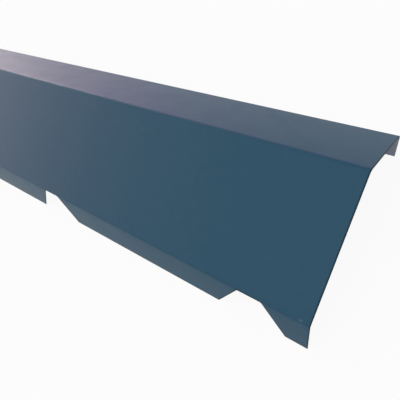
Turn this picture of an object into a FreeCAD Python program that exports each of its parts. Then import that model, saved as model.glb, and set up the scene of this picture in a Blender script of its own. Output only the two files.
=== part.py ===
import FreeCAD, Part
import math
import os

# A roof ridge cap, folded from one strip of coated steel sheet. Seen on its end, the strip runs
# from a short return at the back, over an upper flange and a wide main plane, down into a front
# lip. The lip is notched so that it drops between the ribs of the roof sheets.
#
# Millimetres. +X runs along the cap, -Y faces the lip, +Z is up. The cap lies as it comes to
# rest on a level floor: on the free edge of its return and on the teeth of its lip.
# The origin is under the middle of the cap, on the floor.

# The strip
SHEET = 0.75
LENGTH = 2100.0

# Widths of the four flats, over the outer face, up to the sharp corners that the bends round off
RETURN_WIDTH = 27.5
UPPER_WIDTH = 112.5
MAIN_WIDTH = 153.0
LIP_WIDTH = 43.0

# What each bend turns the sheet through, and the radius inside every bend
REAR_TURN_DEG = 78.5
RIDGE_TURN_DEG = 57.0
LIP_TURN_DEG = 48.2
BEND_RADIUS = 3.5

# Notches, one at each rib of the roof sheet
RIB_PITCH = 333.333
FIRST_RIB = 65.5
NOTCH_TOP_WIDTH = 28.3
NOTCH_FLANK_RUN = 26.9
NOTCH_SHOULDER = 2.0
NOTCH_CORNER_RADIUS = 3.0

# How far the punch stands past the sheet on every side
PUNCH_CLEARANCE = 5.0

ALONG = FreeCAD.Vector(1, 0, 0)


def heading(degrees):
    """Unit vector in the section that climbs by this angle while it runs to the front."""
    angle = math.radians(degrees)
    return FreeCAD.Vector(0, -math.cos(angle), math.sin(angle))


def outward(degrees):
    """Unit normal of a flat with this heading, on the side of the weather face."""
    return heading(degrees + 90)


def folded_flats():
    """The four flats in walking order, from the free edge of the return to that of the lip.

    Each is (start corner, end corner, heading), with sharp corners on the outer face and the
    upper flange level. Every bend turns the walk further down.
    """
    widths = [RETURN_WIDTH, UPPER_WIDTH, MAIN_WIDTH, LIP_WIDTH]
    turns = [REAR_TURN_DEG, RIDGE_TURN_DEG, LIP_TURN_DEG]
    climb = REAR_TURN_DEG
    corner = FreeCAD.Vector(0, 0, 0)
    flats = []
    for index, width in enumerate(widths):
        end = corner + heading(climb) * width
        flats.append((corner, end, climb))
        corner = end
        if index < len(turns):
            climb -= turns[index]
    return flats


def setback(turn):
    """Distance from a sharp outer corner to where its bend meets the flats."""
    return (BEND_RADIUS + SHEET) * math.tan(math.radians(turn) / 2)


def strip_width():
    """Width of the flat strip before folding, along the middle of its thickness."""
    width = RETURN_WIDTH + UPPER_WIDTH + MAIN_WIDTH + LIP_WIDTH
    for turn in (REAR_TURN_DEG, RIDGE_TURN_DEG, LIP_TURN_DEG):
        bend_length = (BEND_RADIUS + SHEET / 2) * math.radians(turn)
        width += bend_length - 2 * setback(turn)
    return width


def strip_section(flats):
    """Closed outline of the folded sheet: flats and tangent arcs, SHEET thick."""
    outer = []
    inner = []
    for index, (start, end, climb) in enumerate(flats):
        along = heading(climb)
        into_sheet = outward(climb) * -SHEET
        first, last = start, end
        if index > 0:
            turn = flats[index - 1][2] - climb
            first = start + along * setback(turn)
            bend_centre = first - outward(climb) * (BEND_RADIUS + SHEET)
            middle = outward(climb + turn / 2)
            outer.append(Part.Arc(outer_end, bend_centre + middle * (BEND_RADIUS + SHEET), first))
            inner.append(Part.Arc(inner_end, bend_centre + middle * BEND_RADIUS, first + into_sheet))
        if index < len(flats) - 1:
            last = end - along * setback(climb - flats[index + 1][2])
        outer.append(Part.LineSegment(first, last))
        inner.append(Part.LineSegment(first + into_sheet, last + into_sheet))
        outer_end, inner_end = last, last + into_sheet
    free_edge_back = Part.LineSegment(flats[0][0], flats[0][0] - outward(flats[0][2]) * SHEET)
    free_edge_front = Part.LineSegment(outer_end, inner_end)
    edges = [piece.toShape() for piece in outer + [free_edge_front] + inner[::-1] + [free_edge_back]]
    return Part.Wire(Part.__sortEdges__(edges))


def notch_punch(lip, rib_position):
    """Trapezoid bar that stands square to the lip and cuts one notch, centred on a rib."""
    fold, _, climb = lip
    down = heading(climb)
    through = outward(climb)
    slope = NOTCH_FLANK_RUN / (LIP_WIDTH - NOTCH_SHOULDER)
    half_top = NOTCH_TOP_WIDTH / 2
    half_foot = half_top + slope * (LIP_WIDTH + PUNCH_CLEARANCE - NOTCH_SHOULDER)
    back = fold + ALONG * rib_position - through * (SHEET + PUNCH_CLEARANCE)
    head = back + down * NOTCH_SHOULDER
    foot = back + down * (LIP_WIDTH + PUNCH_CLEARANCE)
    outline = Part.makePolygon([
        head - ALONG * half_top,
        head + ALONG * half_top,
        foot + ALONG * half_foot,
        foot - ALONG * half_foot,
        head - ALONG * half_top,
    ])
    bar = Part.Face(outline).extrude(through * (SHEET + 2 * PUNCH_CLEARANCE))
    head_edges = [
        edge for edge in bar.Edges
        if abs(abs(edge.CenterOfMass.x - rib_position) - half_top) < 1e-6
        and abs((edge.CenterOfMass - head).dot(down)) < 1e-6
    ]
    return bar.makeFillet(NOTCH_CORNER_RADIUS, head_edges)


def rib_positions():
    """Places of the ribs that the cap crosses, from its right-hand end at +X, at the rib pitch."""
    right_end = LENGTH / 2
    count = int((LENGTH - FIRST_RIB) / RIB_PITCH) + 1
    return [right_end - FIRST_RIB - index * RIB_PITCH for index in range(count)]


def resting_tilt(flats):
    """Angle about +X that sets the return's free edge and the lip's on one level.

    The sheet has two corners at each free edge. The walk's own chord tells which of the two is
    the lower one, and the tilt is then taken between those.
    """
    back_corner, _, back_climb = flats[0]
    _, front_corner, front_climb = flats[-1]
    backs = [back_corner, back_corner - outward(back_climb) * SHEET]
    fronts = [front_corner, front_corner - outward(front_climb) * SHEET]
    chord = front_corner - back_corner
    down = outward(math.degrees(math.atan2(chord.z, -chord.y))) * -1
    lowest_back = max(backs, key=lambda corner: corner.dot(down))
    lowest_front = max(fronts, key=lambda corner: corner.dot(down))
    base = lowest_front - lowest_back
    return math.degrees(math.atan2(base.z, -base.y))


def ridge_cap():
    """The whole cap: the folded strip, its notches, laid down on its edges."""
    flats = folded_flats()
    section = Part.Face(strip_section(flats))
    section.translate(ALONG * (-LENGTH / 2))
    cap = section.extrude(ALONG * LENGTH)
    punches = [notch_punch(flats[-1], position) for position in rib_positions()]
    cap = cap.cut(Part.makeCompound(punches))
    cap.rotate(FreeCAD.Vector(0, 0, 0), ALONG, resting_tilt(flats))
    box = cap.BoundBox
    cap.translate(FreeCAD.Vector(0, -(box.YMin + box.YMax) / 2, -box.ZMin))
    return cap.Solids[0]


os.makedirs("parts", exist_ok=True)
cap = ridge_cap()
cap.exportStep("parts/ridge_cap.step")
box = cap.BoundBox
print("ridge cap %.1f x %.1f x %.1f mm" % (box.XLength, box.YLength, box.ZLength))
print("flat strip %.1f mm wide" % strip_width())
print("solid valid:", cap.isValid(), " volume %.1f cm3" % (cap.Volume / 1000))
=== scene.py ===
# %% [markdown]
# # A folded steel ridge cap
#
# The real thing is one strip of steel, painted in a long coil before anyone bends it, then cut,
# notched and folded. So it is drawn here in the same order: a flat blank first, with its notches,
# and then the folding. The measured solid comes from the frame, and everything made below has to
# lie where that solid lies.

# %% Load the frame
import math

import bpy
import numpy as np
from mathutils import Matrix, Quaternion, Vector


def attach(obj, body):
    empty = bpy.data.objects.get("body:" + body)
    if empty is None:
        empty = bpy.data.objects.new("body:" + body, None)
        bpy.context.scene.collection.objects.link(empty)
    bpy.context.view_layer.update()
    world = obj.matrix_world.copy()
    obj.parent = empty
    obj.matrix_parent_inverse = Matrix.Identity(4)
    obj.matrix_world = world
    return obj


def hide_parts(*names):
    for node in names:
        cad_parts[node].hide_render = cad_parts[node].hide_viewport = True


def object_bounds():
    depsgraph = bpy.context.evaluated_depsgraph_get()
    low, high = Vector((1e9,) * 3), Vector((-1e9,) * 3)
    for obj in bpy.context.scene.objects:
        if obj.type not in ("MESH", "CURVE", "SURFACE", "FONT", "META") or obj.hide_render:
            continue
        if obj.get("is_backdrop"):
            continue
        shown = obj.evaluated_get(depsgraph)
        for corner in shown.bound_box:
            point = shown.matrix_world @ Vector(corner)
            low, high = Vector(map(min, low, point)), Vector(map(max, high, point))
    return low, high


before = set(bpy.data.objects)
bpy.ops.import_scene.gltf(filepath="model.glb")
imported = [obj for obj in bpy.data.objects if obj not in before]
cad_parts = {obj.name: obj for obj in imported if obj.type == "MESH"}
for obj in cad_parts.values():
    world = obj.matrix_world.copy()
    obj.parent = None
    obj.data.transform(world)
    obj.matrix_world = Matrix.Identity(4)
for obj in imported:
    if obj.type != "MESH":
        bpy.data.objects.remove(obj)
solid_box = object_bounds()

BODY = "root"
NODE = "ridge_cap"
print("solid from", [round(v, 4) for v in solid_box[0]], "to", [round(v, 4) for v in solid_box[1]])

# %% [markdown]
# ## The sizes that drive the shape
#
# A folder's sketch of a cap gives the widths of the flats up to their sharp corners, the turn of
# each bend, and the notch. These are the same sizes that the solid was made from, written once
# here in metres. The length of the cap and its place on the floor are read from the frame.
#
# Only the bends are softer than the solid's. Their round part is larger at the ridge and at the
# lip, and each has a soft shoulder on both sides, where the sheet has already begun to turn by a
# degree or two. A folding beam leaves just that. It moves no point by more than 0.7 mm, but in a
# glossy coat one sees it at once.

# %% Widths, turns and notch
MM = 0.001
SHEET = 0.75 * MM
BEND_RADII = np.array([3.5, 8.0, 6.0]) * MM + SHEET
FLAT_WIDTHS = np.array([27.5, 112.5, 153.0, 43.0]) * MM
BEND_TURNS = np.radians([78.5, 57.0, 48.2])
SHOULDER_RUNS = np.array([3.0, 6.0, 8.0]) * MM
SHOULDER_TURNS = np.radians([1.0, 0.5, 2.0])

RIB_PITCH = 333.333 * MM
FIRST_RIB = 65.5 * MM
NOTCH_HALF_TOP = 28.3 / 2 * MM
NOTCH_FLANK_RUN = 26.9 * MM
NOTCH_BELOW_CORNER = 2.0 * MM
NOTCH_CORNER_RADIUS = 3.0 * MM

RIGHT_END = solid_box[1].x
LEFT_END = solid_box[0].x
print("developed widths of the flats, over their corners:", FLAT_WIDTHS / MM, "mm")

# %% [markdown]
# ## Walking over the folded strip
#
# Any fold line section is a run of straight flats and round bends. Along it the heading stays put
# on a flat and turns evenly on a bend. A flat adds a straight step; a bend adds the chord of the
# arc walked so far, and a chord of arc length a that has turned by t is a times sin(t/2)/(t/2)
# long and points halfway through the turn. Adding the steps of all the pieces gives a point for
# every distance s at once, with no loop over points. Extruding a drawn outline would give the same
# shape, but only this way can s be used later for the paint, because s is what the flat coil knew.

# %% The pieces of the walk
def chord(run, turn):
    """Straight distance between the ends of an arc of this run and turn."""
    return run * np.sinc(turn / 2 / np.pi)


def setbacks():
    """How far before its sharp corner each bend begins.

    Half of a bend is walked, over its shoulder and half its arc. There the line square to the
    heading passes through the corner, so the setback is the way forward plus the way sideways
    times the tangent of half the whole turn.
    """
    half_arc = BEND_TURNS / 2 - SHOULDER_TURNS
    shoulder = chord(SHOULDER_RUNS, SHOULDER_TURNS)
    arc = chord(BEND_RADII * half_arc, half_arc)
    ways_on = SHOULDER_TURNS / 2, SHOULDER_TURNS + half_arc / 2
    forward = shoulder * np.cos(ways_on[0]) + arc * np.cos(ways_on[1])
    sideways = shoulder * np.sin(ways_on[0]) + arc * np.sin(ways_on[1])
    return forward + sideways * np.tan(BEND_TURNS / 2)


SETBACKS = setbacks()
ARC_TURNS = BEND_TURNS - 2 * SHOULDER_TURNS
FLAT_RUNS = FLAT_WIDTHS - np.append(0, SETBACKS) - np.append(SETBACKS, 0)
# Each flat but the last is followed by three pieces: a shoulder, an arc and a shoulder
BEND_RUNS = np.stack([SHOULDER_RUNS, BEND_RADII * ARC_TURNS, SHOULDER_RUNS], 1)
BEND_PARTS = np.stack([SHOULDER_TURNS, ARC_TURNS, SHOULDER_TURNS], 1)
PIECE_RUNS = np.append(np.column_stack([FLAT_RUNS[:3], BEND_RUNS]).ravel(), FLAT_RUNS[3])
PIECE_TURNS = np.append(np.column_stack([np.zeros(3), BEND_PARTS]).ravel(), 0.0)
PIECE_STARTS = np.append(0, np.cumsum(PIECE_RUNS))
FLAT_STARTS = PIECE_STARTS[:-1:4]
LIP_ARC_START = PIECE_STARTS[10]
STRIP_WIDTH = PIECE_STARTS[-1]
print("bends begin", np.round(SETBACKS / MM, 2), "mm before their corners; the outer face unrolls to",
      round(STRIP_WIDTH / MM, 1), "mm")


def walk(s, first_heading):
    """Heading and place (forward, up) at distance s from the return's free edge.

    The heading is the first one less all the turning done up to s. The place is the sum of each
    piece's chord, with the run cut off where s ends.
    """
    heading = np.full_like(s, first_heading)
    forward = np.zeros_like(s)
    up = np.zeros_like(s)
    for start, run, turn in zip(PIECE_STARTS, PIECE_RUNS, PIECE_TURNS):
        walked = np.clip(s - start, 0, run)
        turned = turn * walked / run
        step = chord(walked, turned)
        forward += step * np.cos(heading - turned / 2)
        up += step * np.sin(heading - turned / 2)
        heading -= turned
    return heading, forward, up


# %% [markdown]
# The cap rests on two sheared edges: the outer corner of the return, and the inner corner of the
# lip's teeth. The line between those two corners has to be level, and that sets how the whole
# section leans.

# %% Lean the section so that both edges touch the floor
ends = np.array([0.0, STRIP_WIDTH])
heading, forward, up = walk(ends, BEND_TURNS[0])
toe_forward = forward[1] + SHEET * np.sin(heading[1])
toe_up = up[1] - SHEET * np.cos(heading[1])
LEAN = math.atan2(toe_up - up[0], toe_forward - forward[0])
FIRST_HEADING = BEND_TURNS[0] - LEAN
heading, forward, up = walk(ends, FIRST_HEADING)
toe_forward = forward[1] + SHEET * np.sin(heading[1])
FRONT_Y = solid_box[0].y
BACK_CORNER_Y = FRONT_Y + forward[1]
print("leans", round(math.degrees(LEAN), 2), "degrees; heel stands", round(BACK_CORNER_Y / MM, 1),
      "mm behind the middle and the toe", round((BACK_CORNER_Y - toe_forward) / MM, 1))


def place(x, s, proud):
    """Point of the cap at x along it and s over it, lifted by proud from the weather face.

    The walk's forward is -Y. The face's normal is the heading turned a quarter turn upwards.
    """
    heading, forward, up = walk(s, FIRST_HEADING)
    y = BACK_CORNER_Y - forward + proud * np.sin(heading)
    z = up + proud * np.cos(heading)
    return np.stack([x, y, z], -1)


# %% [markdown]
# ## The blank
#
# The blank is a grid. Its rows run along the cap at chosen distances s, close together in the
# bends and beside every sheared edge. Its columns run over the cap. Above the notches a column is
# a straight line, but on a tooth it leans with the tooth's flank, so that the notch is cut by the
# grid's own lines and no cell is ever sliced. Cells inside a notch are simply left out.

# %% The notch's profile
LIP_START = FLAT_STARTS[3]
NOTCH_TOP = LIP_START + NOTCH_BELOW_CORNER - SETBACKS[2]
FLANK_SLOPE = NOTCH_FLANK_RUN / (STRIP_WIDTH - NOTCH_TOP)
FLANK_ANGLE = math.atan2(1, FLANK_SLOPE)
CORNER_TANGENT = NOTCH_CORNER_RADIUS * math.tan(FLANK_ANGLE / 2)
CORNER_DROP = NOTCH_CORNER_RADIUS * (1 - math.cos(FLANK_ANGLE))


def notch_half_width(drop):
    """Half the notch's width at this drop below its top edge.

    Down to the end of the rounded corner it follows the corner's circle, and then it opens in
    proportion to the drop.
    """
    flank = NOTCH_HALF_TOP + FLANK_SLOPE * drop
    below = np.clip(NOTCH_CORNER_RADIUS - drop, 0, NOTCH_CORNER_RADIUS)
    circle = np.sqrt(NOTCH_CORNER_RADIUS ** 2 - below ** 2)
    rounded = NOTCH_HALF_TOP - CORNER_TANGENT + circle
    return np.where(drop < CORNER_DROP, rounded, flank)


RIB_COUNT = int((RIGHT_END - LEFT_END - FIRST_RIB) / RIB_PITCH) + 1
RIBS = RIGHT_END - FIRST_RIB - RIB_PITCH * np.arange(RIB_COUNT)
LAST_TOOTH_TIP = (RIBS[-1] - LEFT_END - NOTCH_HALF_TOP) / FLANK_SLOPE
TIP_IS_CUT = 0 < LAST_TOOTH_TIP < STRIP_WIDTH - NOTCH_TOP
print(RIB_COUNT, "notches; the far tooth ends in a point:", TIP_IS_CUT)

# %% Rows
ROW_STEP = 6 * MM
SHOULDER_STEP = 2 * MM
LEAST_ROW_STEP = 0.08 * MM
EDGE_OFFSETS = np.array([0.0, 0.25, 0.7, 1.6]) * MM
ARC_CELLS = 12
CORNER_CELLS = 5


def rows_between(start, end, cells):
    """Distances from start to end, evenly spaced, without the two ends themselves."""
    return np.linspace(start, end, cells + 1)[1:-1]


corner_angles = np.linspace(0, FLANK_ANGLE, CORNER_CELLS + 1)
corner_rows = NOTCH_TOP + NOTCH_CORNER_RADIUS * (1 - np.cos(corner_angles))
rows = [EDGE_OFFSETS, STRIP_WIDTH - EDGE_OFFSETS, corner_rows, NOTCH_TOP - EDGE_OFFSETS[1:3]]
for start, run, turn in zip(PIECE_STARTS, PIECE_RUNS, PIECE_TURNS):
    if turn in ARC_TURNS:
        cells = ARC_CELLS
    else:
        cells = max(2, round(run / (SHOULDER_STEP if turn else ROW_STEP)))
    rows.append(rows_between(start, start + run, cells))
    if turn:
        rows.append(np.array([start, start + run]))
if TIP_IS_CUT:
    rows.append(np.array([NOTCH_TOP + LAST_TOOTH_TIP]))
rows = np.unique(np.round(np.concatenate(rows), 8))
keep = np.append(True, np.diff(rows) > LEAST_ROW_STEP)
rows = rows[keep]
notch_top_row = int(np.argmin(abs(rows - NOTCH_TOP)))
print(len(rows), "rows over the strip")

# %% [markdown]
# Along the cap, teeth and notch tops take turns. A tooth's columns sit at fixed small distances
# from its two flanks and are spread evenly between them, row by row. Where the far end cuts the
# last tooth to a point, all its columns meet there.

# %% Columns
COLUMN_STEP = 8 * MM
LEAST_TOOTH = 1.5
EDGE_STRETCH = math.hypot(1, FLANK_SLOPE)
drop = np.clip(rows - NOTCH_TOP, 0, None)
half_width = notch_half_width(drop)


def tooth_columns(left, right, left_stretch, right_stretch):
    """Places along the cap of one tooth's columns, for every row.

    The outer columns stand EDGE_OFFSETS from the two flanks, measured square to them. The inner
    ones divide what is left evenly. On a tooth hardly wider than its offsets, all shrink with it.
    """
    width = right - left
    reach = EDGE_OFFSETS[-1] * (left_stretch + right_stretch)
    shrink = np.clip(width / (LEAST_TOOTH * reach), 0, 1)[:, None]
    near_left = left[:, None] + shrink * left_stretch * EDGE_OFFSETS
    near_right = right[:, None] - shrink * right_stretch * EDGE_OFFSETS[::-1]
    inner_count = max(2, round(float(width.max()) / COLUMN_STEP))
    share = np.linspace(0, 1, inner_count + 1)[None, 1:-1]
    inner = near_left[:, -1:] * (1 - share) + near_right[:, :1] * share
    return np.concatenate([near_left, inner, near_right], 1)


# %% Teeth and notch tops in turn
NOTCH_TOP_COLUMNS = 5
ribs_left_to_right = RIBS[::-1]
whole_row = np.ones(len(rows))
column_blocks = []
notch_cells = []
for tooth in range(RIB_COUNT + 1):
    left_flank, right_flank = LEFT_END * whole_row, RIGHT_END * whole_row
    left_stretch = right_stretch = 1.0
    if tooth > 0:
        left_flank = ribs_left_to_right[tooth - 1] + half_width
        left_stretch = EDGE_STRETCH
    if tooth < RIB_COUNT:
        right_flank = np.maximum(ribs_left_to_right[tooth] - half_width, left_flank)
        right_stretch = EDGE_STRETCH
    block = tooth_columns(left_flank, right_flank, left_stretch, right_stretch)
    column_blocks.append(block)
    notch_cells += [False] * (block.shape[1] - 1)
    if tooth < RIB_COUNT:
        half = half_width[notch_top_row]
        inside = np.linspace(-half, half, NOTCH_TOP_COLUMNS + 2)[1:-1]
        column_blocks.append(ribs_left_to_right[tooth] + whole_row[:, None] * inside)
        notch_cells += [True] * (NOTCH_TOP_COLUMNS + 1)
along = np.concatenate(column_blocks, 1)
over = np.repeat(rows[:, None], along.shape[1], 1)
notch_cells = np.array(notch_cells)
print("grid of", along.shape[0], "rows by", along.shape[1], "columns")

# %% [markdown]
# ## What shearing and coiling leave in the sheet
#
# A punch or a shear drags the skin down a little before it cuts, so a sheared edge is rounded on
# the face that the blade meets. And no coil is dead flat: each flat keeps shallow waves, which
# only show as slow changes in a reflection. Both are real dents in the mesh here, not bump. They
# need the distance from each point to the nearest sheared edge, so that is worked out first.

# %% Distance to the nearest sheared edge
nearest_rib = RIBS[np.argmin(abs(along[..., None] - RIBS), -1)]
to_top = NOTCH_TOP - over
to_flank = abs(along - nearest_rib) - NOTCH_HALF_TOP - FLANK_SLOPE * (over - NOTCH_TOP)
to_notch = np.maximum(to_top, to_flank / EDGE_STRETCH)
edge_gap = np.minimum.reduce([
    to_notch, over, STRIP_WIDTH - over, along - LEFT_END, RIGHT_END - along])
edge_gap = np.clip(edge_gap, 0, None)

# %% Dents: rolled edges and shallow waves
ROLL_DEPTH = 0.09 * MM
ROLL_REACH = 0.30 * MM
FLAT_WAVES = np.array([0.03, 0.14, 0.28, 0.10]) * MM
WAVE_LENGTHS = np.array([0.613, 0.287, 0.171])
WAVE_SHARES = np.array([0.5, 0.3, 0.2])
WAVE_PHASES = np.array([0.7, 2.9, 4.4])
WAVE_DRIFT = 0.8


def coil_waves(x, s):
    """Height of the coil's own waves.

    Along the cap it is a sum of three sines that drift a little across it, and over each flat a
    half sine squared, so that the bends stay straight.
    """
    swell = np.zeros_like(x)
    for length, share, phase in zip(WAVE_LENGTHS, WAVE_SHARES, WAVE_PHASES):
        swell += share * np.sin(2 * np.pi * (x + WAVE_DRIFT * s) / length + phase)
    window = np.zeros_like(x)
    for start, run, height in zip(FLAT_STARTS, FLAT_RUNS, FLAT_WAVES):
        across = np.clip((s - start) / run, 0, 1)
        window += height * np.sin(np.pi * across) ** 2
    return swell * window


rolled = -ROLL_DEPTH * np.exp(-((edge_gap / ROLL_REACH) ** 2))
proud = coil_waves(along, over) + rolled
print("waves reach", round(float(abs(coil_waves(along, over)).max()) / MM, 2), "mm")

# %% [markdown]
# ## The sheet as a mesh
#
# The grid becomes one skin, the weather face. Solidify then gives it the gauge of the strip,
# inwards, and closes all the sheared edges, with the skin, the back and the edges in three
# material slots. Each point keeps its place on the flat coil in an attribute, so that paint,
# scuffs and roller marks can follow the coil round the bends.

# %% Cells that exist
point_number = np.arange(along.size).reshape(along.shape)
quads = np.stack([
    point_number[:-1, :-1], point_number[1:, :-1],
    point_number[1:, 1:], point_number[:-1, 1:]], -1)
TINY = 1e-7
column_gaps = np.diff(along, axis=1)
punched_out = (np.arange(len(rows) - 1)[:, None] >= notch_top_row) & notch_cells[None, :]
past_the_tip = column_gaps[:-1] < TINY
at_the_tip = (column_gaps[1:] < TINY) & ~past_the_tip & ~punched_out
whole_cells = quads[~punched_out & ~past_the_tip & ~at_the_tip]
tip_cells = quads[at_the_tip][:, [0, 1, 3]]
# All the columns meet in the point, so one corner serves every one of these cells
if len(tip_cells):
    tip_cells[:, 1] = tip_cells[0, 1]
print(len(whole_cells), "whole cells, and", len(tip_cells), "that meet in the far tooth's point")

# %% Build the skin
used = np.unique(np.concatenate([whole_cells.ravel(), tip_cells.ravel()]))
renumber = np.zeros(along.size, int)
renumber[used] = np.arange(len(used))
faces = renumber[whole_cells].tolist() + renumber[tip_cells].tolist()
points = place(along.ravel(), over.ravel(), proud.ravel())[used]

skin = bpy.data.meshes.new("folded_sheet")
skin.from_pydata(points.tolist(), [], faces)
coil_place = np.stack([along.ravel(), over.ravel(), edge_gap.ravel()], -1)[used]
blank = skin.attributes.new("blank", "FLOAT_VECTOR", "POINT")
blank.data.foreach_set("vector", coil_place.astype(np.float32).ravel())
skin.shade_smooth()
sheet = bpy.data.objects.new("folded_sheet", skin)
bpy.context.scene.collection.objects.link(sheet)
print("skin has", len(skin.vertices), "points and", len(skin.polygons), "faces")

# %% Gauge and sheared edges
edge_count = len(skin.edges)
edge_points = np.zeros(edge_count * 2, np.int32)
skin.edges.foreach_get("vertices", edge_points)
loop_edges = np.zeros(len(skin.loops), np.int32)
skin.loops.foreach_get("edge_index", loop_edges)
is_sheared = np.bincount(loop_edges, minlength=edge_count) == 1
sharp = skin.attributes.new("sharp_edge", "BOOLEAN", "EDGE")
sharp.data.foreach_set("value", is_sheared)

gauge = sheet.modifiers.new("gauge", "SOLIDIFY")
gauge.thickness = SHEET
gauge.offset = -1
gauge.use_even_offset = True
gauge.material_offset = 1
gauge.material_offset_rim = 2
print(int(is_sheared.sum()), "sheared edges")

# %% [markdown]
# ## Weather coat
#
# The weather face is a polyester coil coat in slate blue. It is laid on by a roller, so it is very
# even, with a fine orange peel in the gloss and a faint mottle of tone. Handling leaves dull
# smudges and a few hair scuffs. A small paler spot sits on the lip bend, close to the near end,
# with a fainter one just below it. Along every sheared edge a thin dark line is painted into the
# coat's colour: painted shade, for the coat pulled down with the metal, which looks darker than
# the face.

# %% Node helpers
SPOT_HEART = 0.45


def grey(level):
    """Neutral colour at this level."""
    return (level, level, level, 1)


def new_material(name, roughness, specular):
    """Material with one Principled shader whose even values are set on its own sockets."""
    material = bpy.data.materials.new(name)
    material.use_nodes = True
    shader = material.node_tree.nodes["Principled BSDF"]
    shader.inputs["Roughness"].default_value = roughness
    shader.inputs["Specular IOR Level"].default_value = specular
    return material, shader


def node(tree, kind, inputs=(), **settings):
    """Adds a node, sets its properties, and fills its inputs with values or links."""
    made = tree.nodes.new(kind)
    for key, value in settings.items():
        setattr(made, key, value)
    for socket, value in dict(inputs).items():
        if isinstance(value, bpy.types.NodeSocket):
            tree.links.new(value, made.inputs[socket])
        else:
            made.inputs[socket].default_value = value
    return made


def math_node(tree, operation, first, second=0.0, clamp=False):
    """One arithmetic step; gives its output socket."""
    made = node(tree, "ShaderNodeMath", {0: first, 1: second}, operation=operation)
    made.use_clamp = clamp
    return made.outputs[0]


def ramp(tree, value, low, high, at_low=0.0, at_high=1.0):
    """Value mapped from low..high to at_low..at_high, and held flat outside."""
    made = node(tree, "ShaderNodeMapRange", {
        "Value": value, "From Min": low, "From Max": high,
        "To Min": at_low, "To Max": at_high})
    return made.outputs["Result"]


def blend_colour(tree, factor, first, second):
    """Colour that goes from first to second as the factor goes from 0 to 1."""
    made = node(tree, "ShaderNodeMix", {
        "Factor": factor, "A": first, "B": second}, data_type="RGBA")
    return made.outputs["Result"]


def noise(tree, vector, scale, detail=2.0, roughness=0.5):
    """Noise between 0 and 1 at this many grains a metre."""
    made = node(tree, "ShaderNodeTexNoise", {
        "Vector": vector, "Scale": scale, "Detail": detail, "Roughness": roughness})
    return made.outputs["Fac"]


def coil_coordinates(tree):
    """Place on the flat coil: (along, over) as a vector in metres, and the edge gap in metres."""
    blank_place = node(tree, "ShaderNodeAttribute", attribute_name="blank")
    split = node(tree, "ShaderNodeSeparateXYZ", {0: blank_place.outputs["Vector"]})
    flat = node(tree, "ShaderNodeCombineXYZ", {
        0: split.outputs[0], 1: split.outputs[1], 2: 0.0})
    return flat.outputs[0], split.outputs[2]


def oval_spot(tree, vector, middle, half_size):
    """1 in the heart of an oval spot on the coil, fading to 0 at its rim.

    The distance from the middle, divided by the half size each way, is 1 at the rim. The heart
    reaches to SPOT_HEART of that.
    """
    moved = node(tree, "ShaderNodeVectorMath", {0: vector, 1: (*middle, 0)}, operation="SUBTRACT")
    shrunk = node(tree, "ShaderNodeVectorMath", {0: moved.outputs[0], 1: (
        1 / half_size[0], 1 / half_size[1], 0)}, operation="MULTIPLY")
    away = node(tree, "ShaderNodeVectorMath", {0: shrunk.outputs[0]}, operation="LENGTH")
    return ramp(tree, away.outputs["Value"], SPOT_HEART, 1.0, 1.0, 0.0)


# %% Colours and marks of the coat
COAT_BLUE = (0.0295, 0.083, 0.130, 1)
COAT_BLUE_DEEP = (0.0215, 0.073, 0.119, 1)
COAT_SCUFFED = (0.075, 0.125, 0.165, 1)
# Painted shade: the colour of the thin dark line painted along every sheared edge
COAT_EDGE_SHADE = (0.008, 0.022, 0.034, 1)
COAT_ROUGHNESS = 0.31
COAT_SPECULAR = 0.070
SMUDGE_ROUGHNESS = 0.06
MOTTLE = ((7.0, 0.35), (95.0, 0.45), (620.0, 0.20))
SMUDGE_GRAINS = 26.0
SCUFF_GRAINS = (22.0, 900.0, 1.0)
SCUFF_SLANT = 0.09
SCUFF_LIMITS = (0.74, 0.80)
SCUFFED_WHERE = (0.52, 0.70)
SCUFF_SHARE = 0.35
PEEL_GRAINS = 850.0
PEEL_HEIGHT = 0.05 * MM
PEEL_STRENGTH = 0.12
EDGE_SHADE_REACH = (0.6 * MM, 1.9 * MM)
# A small paler spot on the lip bend, close to the near end, and a fainter one just below it
PALE_SPOT_MIDDLE = (RIGHT_END - 10.2 * MM, LIP_ARC_START + 1.1 * MM)
PALE_SPOT_HALF_SIZE = (2.2 * MM, 1.4 * MM)
SECOND_PALE_SPOT_MIDDLE = (RIGHT_END - 9.6 * MM, LIP_ARC_START + 5.6 * MM)
SECOND_PALE_SPOT_HALF_SIZE = (1.5 * MM, 1.0 * MM)
SECOND_PALE_SPOT_SHARE = 0.5
PALE_SPOT_GRAINS = 900.0

# %% The slate-blue coat
coat, coat_shader = new_material("weather_coat", COAT_ROUGHNESS, COAT_SPECULAR)
tree = coat.node_tree
flat_coil, gap = coil_coordinates(tree)

tone = 0.0
for grains, share in MOTTLE:
    layer = math_node(tree, "MULTIPLY", noise(tree, flat_coil, grains), share)
    tone = math_node(tree, "ADD", tone, layer)
colour = blend_colour(tree, ramp(tree, tone, 0.25, 0.75), COAT_BLUE, COAT_BLUE_DEEP)

scuff_lines = node(tree, "ShaderNodeMapping", {
    "Vector": flat_coil, "Scale": SCUFF_GRAINS, "Rotation": (0, 0, SCUFF_SLANT)})
scuffs = noise(tree, scuff_lines.outputs[0], 1.0, detail=1.0)
smudge = noise(tree, flat_coil, SMUDGE_GRAINS, detail=3.0)
scuffed = ramp(tree, smudge, *SCUFFED_WHERE, 0.0, SCUFF_SHARE)
scuff_amount = math_node(tree, "MULTIPLY", ramp(tree, scuffs, *SCUFF_LIMITS), scuffed)
colour = blend_colour(tree, scuff_amount, colour, COAT_SCUFFED)
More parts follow.
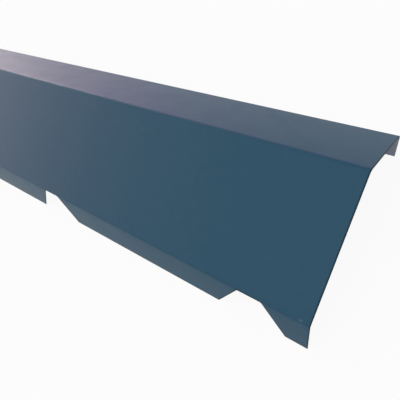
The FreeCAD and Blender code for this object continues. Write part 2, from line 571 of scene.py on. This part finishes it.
# Paler spots on the lip bend near the near end, speckled, in the lighter coat colour
pale_spot = oval_spot(tree, flat_coil, PALE_SPOT_MIDDLE, PALE_SPOT_HALF_SIZE)
second_pale_spot = oval_spot(tree, flat_coil, SECOND_PALE_SPOT_MIDDLE, SECOND_PALE_SPOT_HALF_SIZE)
second_pale_spot = math_node(tree, "MULTIPLY", second_pale_spot, SECOND_PALE_SPOT_SHARE)
pale_spot = math_node(tree, "ADD", pale_spot, second_pale_spot, clamp=True)
speckle = ramp(tree, noise(tree, flat_coil, PALE_SPOT_GRAINS), 0.3, 0.5, 0.5, 1.0)
pale_spot = math_node(tree, "MULTIPLY", pale_spot, speckle)
colour = blend_colour(tree, pale_spot, colour, COAT_SCUFFED)
# Painted shade: a thin dark line along every sheared edge, full within 0.6 mm and gone by 1.9 mm
painted_edge_shade = ramp(tree, gap, *EDGE_SHADE_REACH, 1.0, 0.0)
colour = blend_colour(tree, painted_edge_shade, colour, COAT_EDGE_SHADE)
tree.links.new(colour, coat_shader.inputs["Base Color"])

# %% Gloss and peel of the coat
dull = math_node(tree, "MULTIPLY", ramp(tree, smudge, 0.45, 0.75), SMUDGE_ROUGHNESS)
dull = math_node(tree, "ADD", dull, COAT_ROUGHNESS)
tree.links.new(dull, coat_shader.inputs["Roughness"])

peel = noise(tree, flat_coil, PEEL_GRAINS, detail=1.0)
bump = node(tree, "ShaderNodeBump", {
    "Strength": PEEL_STRENGTH, "Distance": PEEL_HEIGHT, "Height": peel})
tree.links.new(bump.outputs["Normal"], coat_shader.inputs["Normal"])
print("weather coat has", len(tree.nodes), "nodes")

# %% [markdown]
# ## Backing coat and bare edges
#
# The underside has only a thin grey backing coat, duller and greyer than the face. The sheared
# edges show the steel itself between two films of zinc. They are a little streaked by the blade,
# and their colour is dark and dull.

# %% Backing coat
BACKING_GREY = (0.52, 0.56, 0.67, 1)
BACKING_STREAK = (0.46, 0.50, 0.61, 1)
ROLLER_GRAINS = (3.0, 160.0, 1.0)
backing, backing_shader = new_material("backing_coat", 0.5, 0.35)
tree = backing.node_tree
flat_coil = coil_coordinates(tree)[0]
roller = node(tree, "ShaderNodeMapping", {"Vector": flat_coil, "Scale": ROLLER_GRAINS})
streaks = noise(tree, roller.outputs[0], 1.0, detail=3.0)
colour = blend_colour(tree, ramp(tree, streaks, 0.3, 0.7), BACKING_GREY, BACKING_STREAK)
tree.links.new(colour, backing_shader.inputs["Base Color"])
print("backing coat has", len(tree.nodes), "nodes")

# %% Bare sheared steel
EDGE_STEEL = (0.055, 0.060, 0.068, 1)
EDGE_STEEL_DARK = (0.022, 0.025, 0.030, 1)
BLADE_GRAINS = 1400.0
bare, bare_shader = new_material("sheared_edge", 0.6, 0.15)
tree = bare.node_tree
flat_coil = coil_coordinates(tree)[0]
blade = noise(tree, flat_coil, BLADE_GRAINS)
colour = blend_colour(tree, ramp(tree, blade, 0.35, 0.65), EDGE_STEEL, EDGE_STEEL_DARK)
tree.links.new(colour, bare_shader.inputs["Base Color"])
print("sheared edge has", len(tree.nodes), "nodes")

# %% Put the coats on the sheet
for material in (coat, backing, bare):
    skin.materials.append(material)
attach(sheet, BODY)
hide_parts(NODE)

# %% [markdown]
# ## Floor, light and background
#
# The cap lies on a plain pale floor. To the eye, and in reflections, the floor is mostly its own
# white and partly what the room's light makes of it, so that it keeps a soft shadow and stays
# white. The room is even, with soft lights beyond the far end of the cap: a very wide white glow
# high up, a smaller rosy one below it, and a strong band that lies low along the horizon towards
# the back, white at first and rosier the further it turns. A flat sheet mirrors more and more of
# them the lower one looks along it, and that makes the pale sheen which grows towards the far end.

# %% Floor
FLOOR_HALF = 30.0
floor_mesh = bpy.data.meshes.new("floor")
floor_mesh.from_pydata(
    [(-FLOOR_HALF, -FLOOR_HALF, 0), (FLOOR_HALF, -FLOOR_HALF, 0),
     (FLOOR_HALF, FLOOR_HALF, 0), (-FLOOR_HALF, FLOOR_HALF, 0)], [], [(0, 1, 2, 3)])
floor = bpy.data.objects.new("floor", floor_mesh)
bpy.context.scene.collection.objects.link(floor)
floor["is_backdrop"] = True

FLOOR_PAINT = grey(0.7)
WHITE_SHARE = 0.93
floor_material = bpy.data.materials.new("pale_floor")
floor_material.use_nodes = True
tree = floor_material.node_tree
tree.nodes.clear()
ray = node(tree, "ShaderNodeLightPath")
painted = node(tree, "ShaderNodeBsdfDiffuse", {"Color": FLOOR_PAINT})
white = node(tree, "ShaderNodeEmission", {"Color": grey(1.0), "Strength": 1.0})
seen = math_node(tree, "ADD", ray.outputs["Is Camera Ray"], ray.outputs["Is Glossy Ray"])
seen = math_node(tree, "ADD", seen, ray.outputs["Is Transmission Ray"], clamp=True)
share = math_node(tree, "MULTIPLY", seen, WHITE_SHARE)
look = node(tree, "ShaderNodeMixShader", {
    0: share, 1: painted.outputs[0], 2: white.outputs[0]})
node(tree, "ShaderNodeOutputMaterial", {"Surface": look.outputs[0]})
floor_mesh.materials.append(floor_material)
print("floor is", 2 * FLOOR_HALF, "m across")

# %% The room's soft light
ROOM_LEVEL = 0.37
world = bpy.data.worlds.new("room")
bpy.context.scene.world = world
world.use_nodes = True
tree = world.node_tree
tree.nodes.clear()


direction = node(tree, "ShaderNodeTexCoord").outputs["Generated"]
height = node(tree, "ShaderNodeSeparateXYZ", {0: direction}).outputs[2]

# %% Soft lights beyond the far end
FULL_SHARE = 0.35


def add_light(under, turn, rise, reach, level, colour, top=None):
    """Room colour with one soft round light added to it.

    The light's middle is turned this many degrees from -X towards the back, and raised this many
    from the horizon. It is full over FULL_SHARE of its reach in degrees, and fades to its rim in
    proportion to the cosine of the angle from its middle. With a top, which is a pair of heights
    on the unit sphere, only a band below the first height stays full, and nothing above the
    second is left.
    """
    turn, rise, reach = np.radians([turn, rise, reach])
    middle = (-math.cos(turn) * math.cos(rise), math.sin(turn) * math.cos(rise), math.sin(rise))
    facing = node(tree, "ShaderNodeVectorMath", {0: direction, 1: middle},
                  operation="DOT_PRODUCT").outputs["Value"]
    share = ramp(tree, facing, math.cos(reach), math.cos(FULL_SHARE * reach))
    if top:
        share = math_node(tree, "MULTIPLY", share, ramp(tree, height, *top, 1.0, 0.0))
    added = tuple(level * channel for channel in colour) + (1,)
    made = node(tree, "ShaderNodeMix", {"Factor": share, "A": under, "B": added},
                data_type="RGBA", blend_type="ADD")
    return made.outputs["Result"]


# %% Where the lights stand
LIGHTS = [
    {"turn": -12, "rise": 38, "reach": 70, "level": 1.50, "colour": (0.95, 1.0, 1.0)},
    {"turn": -12, "rise": 20, "reach": 35, "level": 1.60, "colour": (1.0, 0.42, 0.47)},
]
BAND_TOP = (0.03, 0.10)
BAND_REACH = 24
BAND = [(22, 8.8, (1.0, 0.94, 0.80)), (38, 9.5, (1.0, 0.53, 0.81)), (60, 4.6, (1.0, 0.08, 0.95))]
for turn, level, colour in BAND:
    LIGHTS.append({"turn": turn, "rise": 0, "reach": BAND_REACH, "level": level,
                   "colour": colour, "top": BAND_TOP})
room_colour = grey(ROOM_LEVEL)
for light in LIGHTS:
    room_colour = add_light(room_colour, **light)

ray = node(tree, "ShaderNodeLightPath")
room = node(tree, "ShaderNodeBackground", {"Color": room_colour, "Strength": 1.0})
backdrop = node(tree, "ShaderNodeBackground", {"Color": grey(1.0), "Strength": 1.0})
look = node(tree, "ShaderNodeMixShader", {
    0: ray.outputs["Is Camera Ray"], 1: room.outputs[0], 2: backdrop.outputs[0]})
node(tree, "ShaderNodeOutputWorld", {"Surface": look.outputs[0]})
print("room has", len(LIGHTS), "soft lights beyond the far end")

# %% [markdown]
# ## Camera
#
# The photo was taken from close above one end, looking down and along the cap, with the camera
# rolled over to its right. The lens and the place come from fitting the cap's corners, its edges
# and its notches to the picture. The lens of the photo also bowed straight lines outwards by a
# pixel or three, which a plain perspective camera doesn't do.

# %% Camera
EYE = Vector((1.1052, -0.1441, 0.4084))
LOOKS_AT = Vector((0.8537, -0.0224, 0.0))
ROLL = math.radians(-37.72)
LENS = 33.55
camera_data = bpy.data.cameras.new("camera")
camera_data.lens = LENS
camera_data.sensor_width = 36
camera_data.clip_start = 0.01
camera = bpy.data.objects.new("camera", camera_data)
camera.location = EYE
camera.rotation_mode = "QUATERNION"
level_view = (LOOKS_AT - EYE).to_track_quat("-Z", "Y")
camera.rotation_quaternion = level_view @ Quaternion((0, 0, 1), ROLL)
bpy.context.scene.collection.objects.link(camera)
bpy.context.scene.camera = camera
print("camera stands", round((LOOKS_AT - EYE).length, 3), "m from the point that it looks at")

# %% Check the sizes and finish
bpy.context.scene.view_settings.view_transform = "Standard"
dressed_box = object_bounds()
for axis, name in enumerate("xyz"):
    low = (dressed_box[0][axis] - solid_box[0][axis]) / MM
    high = (dressed_box[1][axis] - solid_box[1][axis]) / MM
    print(f"{name}: dressed less solid {low:.3f} mm at the low side, {high:.3f} mm at the high side")
